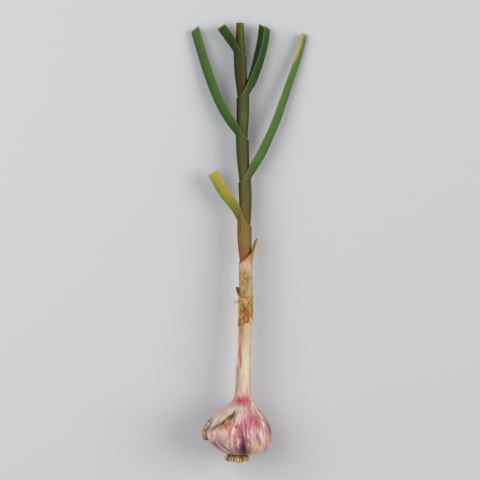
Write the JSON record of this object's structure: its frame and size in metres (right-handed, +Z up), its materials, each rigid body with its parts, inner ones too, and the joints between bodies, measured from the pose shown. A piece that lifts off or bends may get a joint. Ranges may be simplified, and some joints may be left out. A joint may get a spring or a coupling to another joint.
{
  "type": "garlic plant",
  "caption": "Freshly pulled garlic: a lobed bulb with trimmed roots, torn papery skins, a tall stem of nested sheaths and leaf blades cut short.",
  "frame": {"origin": "on the table, in the middle of the small flat on the belly of the bulb where it rests", "axes": "+Z up from the table, +Y along the stem from the bulb towards the cut top, +X to the right when looking down with the bulb at the bottom"},
  "size_m": [0.1052, 0.3971, 0.0572],
  "materials": {
    "bulb_skin": "satin",
    "roots": "matte",
    "dry_skin": "matte",
    "withered_sheath": "matte",
    "yellowing_leaf": "satin",
    "mid_leaf": "satin",
    "dark_leaf": "satin",
    "shoot": "satin"
  },
  "bodies": {
    "root": {"bulb": "bulb_skin", "root_tuft": "roots", "torn_outer_skin": "dry_skin", "withered_collar": "withered_sheath", "leaf_1_lower_left": "yellowing_leaf", "leaf_2_lower_right": "mid_leaf", "leaf_3_upper_left": "mid_leaf", "leaf_4_upper_right": "dark_leaf", "leaf_5_top_left": "dark_leaf", "inner_shoot": "shoot"}
  },
  "joints": []
}
